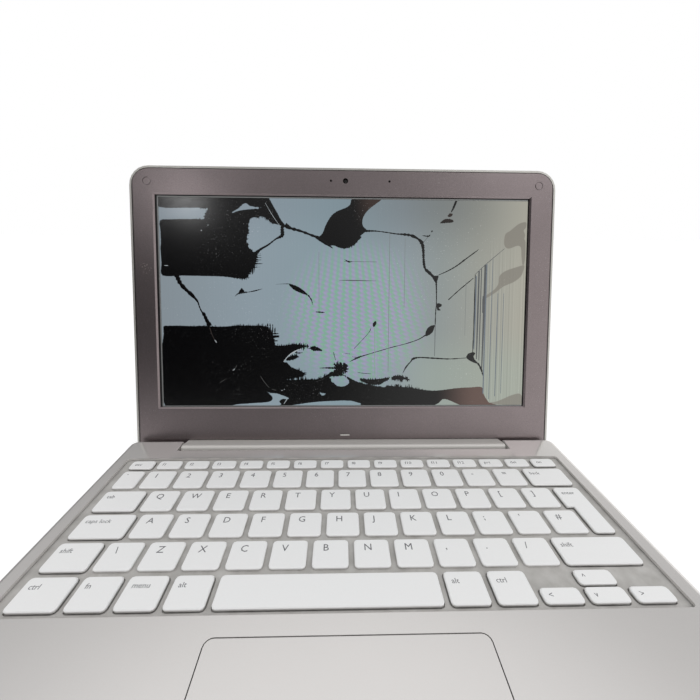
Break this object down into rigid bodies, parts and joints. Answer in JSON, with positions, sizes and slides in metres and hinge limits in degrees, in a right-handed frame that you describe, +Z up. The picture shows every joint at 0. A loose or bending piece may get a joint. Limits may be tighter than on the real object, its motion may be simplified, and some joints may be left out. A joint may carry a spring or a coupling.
{
  "type": "laptop",
  "caption": "Small open laptop with a drop hinge bar, a cracked display with leaked crystal, a keyboard whose outer keys press, and a press-down touchpad.",
  "frame": {"origin": "middle of the bounding box of the laptop as it stands open, on the surface under its feet", "axes": "+X to the right of a person at the keyboard, -Y towards that person, +Z up"},
  "size_m": [0.2936, 0.2548, 0.1929],
  "materials": {
    "silver_paint": "satin silver paint on plastic",
    "pale_deck": "satin pale silver paint",
    "taupe_bezel": "metallic taupe paint",
    "white_key": "matte white",
    "grey_rubber": "matte",
    "steel": "stamped",
    "display_tray": "black tape over a thin tray",
    "lcd_grey": "matte polariser, cracked beneath",
    "leaked_crystal": "ink black",
    "board_green": "solder mask",
    "pack_black": "matte",
    "copper": "dull copper",
    "lens_black": "glossy"
  },
  "bodies": {
    "base": {"bottom_cover": "silver_paint", "top_case": "pale_deck", "keyboard_bed": "white_key", "mainboard": "board_green", "cooling_plate": "copper", "wireless_card": "board_green", "battery_pack": "pack_black", "speaker_left": "pack_black", "speaker_right": "pack_black", "usb_socket_left": "steel", "usb_socket_right": "steel", "video_socket": "steel", "card_slot": "steel", "power_inlet": "steel", "headphone_socket": "steel", "foot_front_left": "grey_rubber", "foot_front_right": "grey_rubber", "foot_rear_left": "grey_rubber", "foot_rear_right": "grey_rubber", "hinge_bracket_left": "steel", "hinge_bracket_right": "steel", "hinge_pin_left": "steel", "hinge_pin_right": "steel"},
    "lid": {"lid_cover": "silver_paint", "screen_bezel": "taupe_bezel", "lid_bumper_left": "taupe_bezel", "lid_bumper_right": "taupe_bezel", "bumper_strip": "silver_paint", "lcd_frame": "display_tray", "lcd_cell": "lcd_grey", "leaked_crystal": "leaked_crystal", "display_board": "board_green", "webcam_board": "board_green", "webcam_lens": "lens_black", "antenna_left": "copper", "antenna_right": "copper", "hinge_bar": "silver_paint", "hinge_arm_left": "steel", "hinge_arm_right": "steel"},
    "touchpad": {"touchpad": "pale_deck"},
    "escape_key": {"key_escape": "white_key"},
    "power_key": {"key_power": "white_key"},
    "backspace_key": {"key_backspace": "white_key"},
    "tab_key": {"key_tab": "white_key"},
    "enter_key": {"key_enter": "white_key"},
    "caps_lock_key": {"key_caps_lock": "white_key"},
    "left_shift_key": {"key_shift_left": "white_key"},
    "right_shift_key": {"key_shift_right": "white_key"},
    "left_control_key": {"key_control_left": "white_key"},
    "function_key": {"key_function": "white_key"},
    "menu_key": {"key_menu": "white_key"},
    "left_alt_key": {"key_alt_left": "white_key"},
    "space_bar": {"key_space": "white_key"},
    "right_alt_key": {"key_alt_right": "white_key"},
    "right_control_key": {"key_control_right": "white_key"},
    "left_arrow_key": {"key_arrow_left": "white_key"},
    "up_arrow_key": {"key_arrow_up": "white_key"},
    "down_arrow_key": {"key_arrow_down": "white_key"},
    "right_arrow_key": {"key_arrow_right": "white_key"}
  },
  "joints": [
    {"name": "lid_hinge", "type": "hinge", "parent": "base", "child": "lid", "pos_m": [0, 0.0669, 0.0072], "axis": [1, 0, 0], "range_deg": [-14.7, 105.3]},
    {"name": "touchpad_press", "type": "hinge", "parent": "base", "child": "touchpad", "pos_m": [0, -0.0586, 0.0123], "axis": [1, 0, 0], "range_deg": [0, 0.6], "stiffness_Nm_per_rad": 2, "springref_deg": -0.57},
    {"name": "escape_press", "type": "slide", "parent": "base", "child": "escape_key", "axis": [0, 0, -1], "range_m": [0, 0.0012], "stiffness_N_per_m": 300, "springref_m": -0.001},
    {"name": "power_press", "type": "slide", "parent": "base", "child": "power_key", "axis": [0, 0, -1], "range_m": [0, 0.0012], "stiffness_N_per_m": 300, "springref_m": -0.001},
    {"name": "backspace_press", "type": "slide", "parent": "base", "child": "backspace_key", "axis": [0, 0, -1], "range_m": [0, 0.0012], "stiffness_N_per_m": 300, "springref_m": -0.001},
    {"name": "tab_press", "type": "slide", "parent": "base", "child": "tab_key", "axis": [0, 0, -1], "range_m": [0, 0.0012], "stiffness_N_per_m": 300, "springref_m": -0.001},
    {"name": "enter_press", "type": "slide", "parent": "base", "child": "enter_key", "axis": [0, 0, -1], "range_m": [0, 0.0012], "stiffness_N_per_m": 300, "springref_m": -0.001},
    {"name": "caps_lock_press", "type": "slide", "parent": "base", "child": "caps_lock_key", "axis": [0, 0, -1], "range_m": [0, 0.0012], "stiffness_N_per_m": 300, "springref_m": -0.001},
    {"name": "left_shift_press", "type": "slide", "parent": "base", "child": "left_shift_key", "axis": [0, 0, -1], "range_m": [0, 0.0012], "stiffness_N_per_m": 300, "springref_m": -0.001},
    {"name": "right_shift_press", "type": "slide", "parent": "base", "child": "right_shift_key", "axis": [0, 0, -1], "range_m": [0, 0.0012], "stiffness_N_per_m": 300, "springref_m": -0.001},
    {"name": "left_control_press", "type": "slide", "parent": "base", "child": "left_control_key", "axis": [0, 0, -1], "range_m": [0, 0.0012], "stiffness_N_per_m": 300, "springref_m": -0.001},
    {"name": "function_press", "type": "slide", "parent": "base", "child": "function_key", "axis": [0, 0, -1], "range_m": [0, 0.0012], "stiffness_N_per_m": 300, "springref_m": -0.001},
    {"name": "menu_press", "type": "slide", "parent": "base", "child": "menu_key", "axis": [0, 0, -1], "range_m": [0, 0.0012], "stiffness_N_per_m": 300, "springref_m": -0.001},
    {"name": "left_alt_press", "type": "slide", "parent": "base", "child": "left_alt_key", "axis": [0, 0, -1], "range_m": [0, 0.0012], "stiffness_N_per_m": 300, "springref_m": -0.001},
    {"name": "space_press", "type": "slide", "parent": "base", "child": "space_bar", "axis": [0, 0, -1], "range_m": [0, 0.0012], "stiffness_N_per_m": 300, "springref_m": -0.001},
    {"name": "right_alt_press", "type": "slide", "parent": "base", "child": "right_alt_key", "axis": [0, 0, -1], "range_m": [0, 0.0012], "stiffness_N_per_m": 300, "springref_m": -0.001},
    {"name": "right_control_press", "type": "slide", "parent": "base", "child": "right_control_key", "axis": [0, 0, -1], "range_m": [0, 0.0012], "stiffness_N_per_m": 300, "springref_m": -0.001},
    {"name": "left_arrow_press", "type": "slide", "parent": "base", "child": "left_arrow_key", "axis": [0, 0, -1], "range_m": [0, 0.0012], "stiffness_N_per_m": 300, "springref_m": -0.001},
    {"name": "up_arrow_press", "type": "slide", "parent": "base", "child": "up_arrow_key", "axis": [0, 0, -1], "range_m": [0, 0.0012], "stiffness_N_per_m": 300, "springref_m": -0.001},
    {"name": "down_arrow_press", "type": "slide", "parent": "base", "child": "down_arrow_key", "axis": [0, 0, -1], "range_m": [0, 0.0012], "stiffness_N_per_m": 300, "springref_m": -0.001},
    {"name": "right_arrow_press", "type": "slide", "parent": "base", "child": "right_arrow_key", "axis": [0, 0, -1], "range_m": [0, 0.0012], "stiffness_N_per_m": 300, "springref_m": -0.001}
  ]
}
